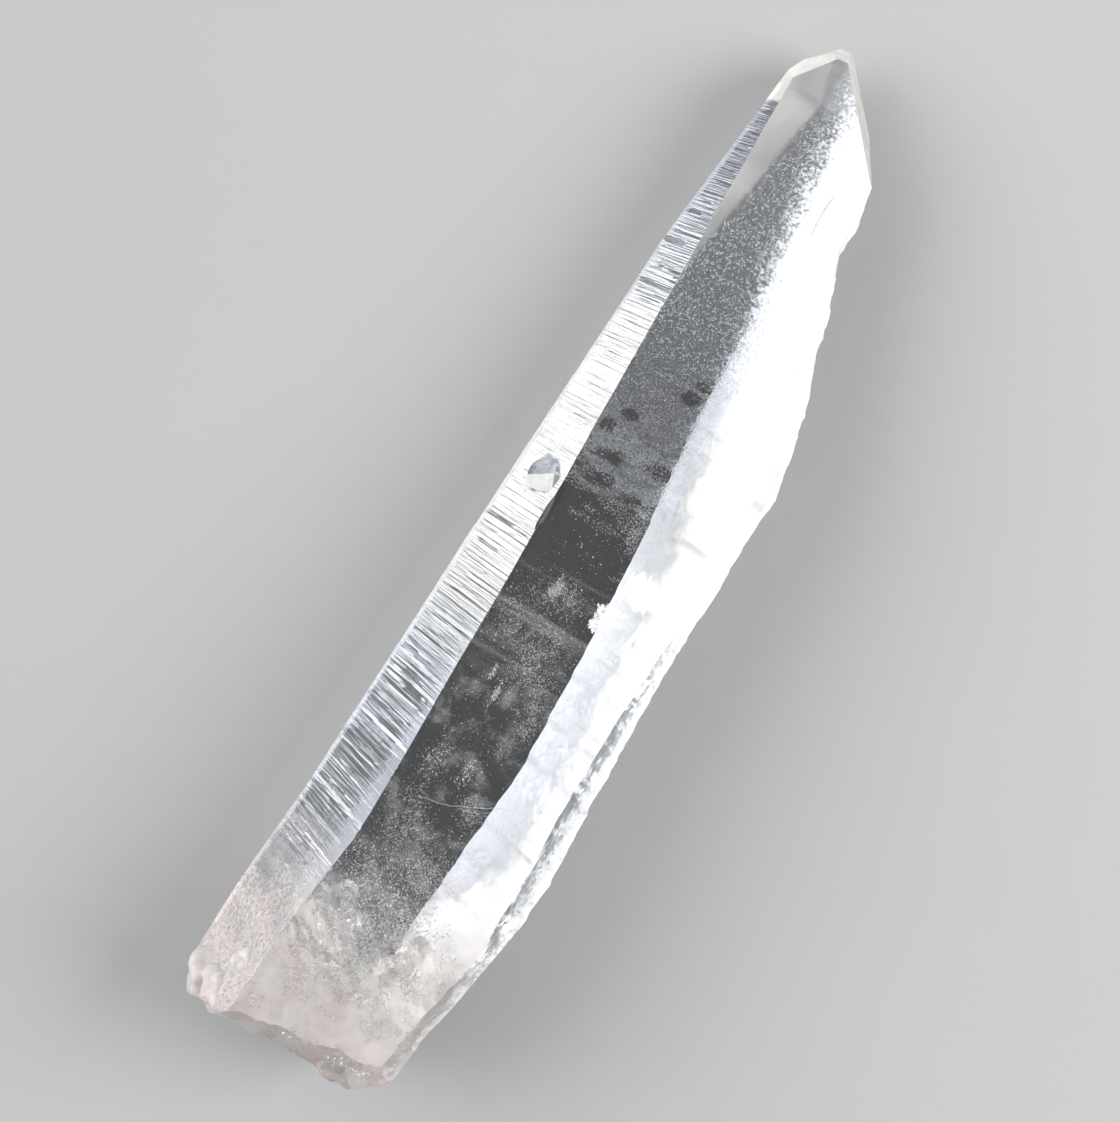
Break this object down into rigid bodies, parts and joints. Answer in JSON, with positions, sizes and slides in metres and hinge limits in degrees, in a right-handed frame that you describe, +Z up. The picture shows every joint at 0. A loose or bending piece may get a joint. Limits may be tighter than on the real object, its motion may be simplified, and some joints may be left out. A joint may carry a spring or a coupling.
{
  "type": "lemurian quartz crystal",
  "caption": "Long tapering clear and milky quartz point with fine cross growth lines, a faceted tip and a rough knobbed base, lying on a prism face.",
  "frame": {"origin": "centre of the crystal's box in plan, on the surface that it lies on", "axes": "+X along the crystal from the broken base to the tip, +Z up from the prism face that it rests on, +Y towards the finely lined side face"},
  "size_m": [0.1274, 0.0312, 0.023],
  "materials": {
    "quartz": "clear quartz, satin and finely striated on the prism faces, glossy at the tip, milky and veiled towards the base"
  },
  "bodies": {
    "root": {"quartz_crystal": "quartz"}
  },
  "joints": []
}
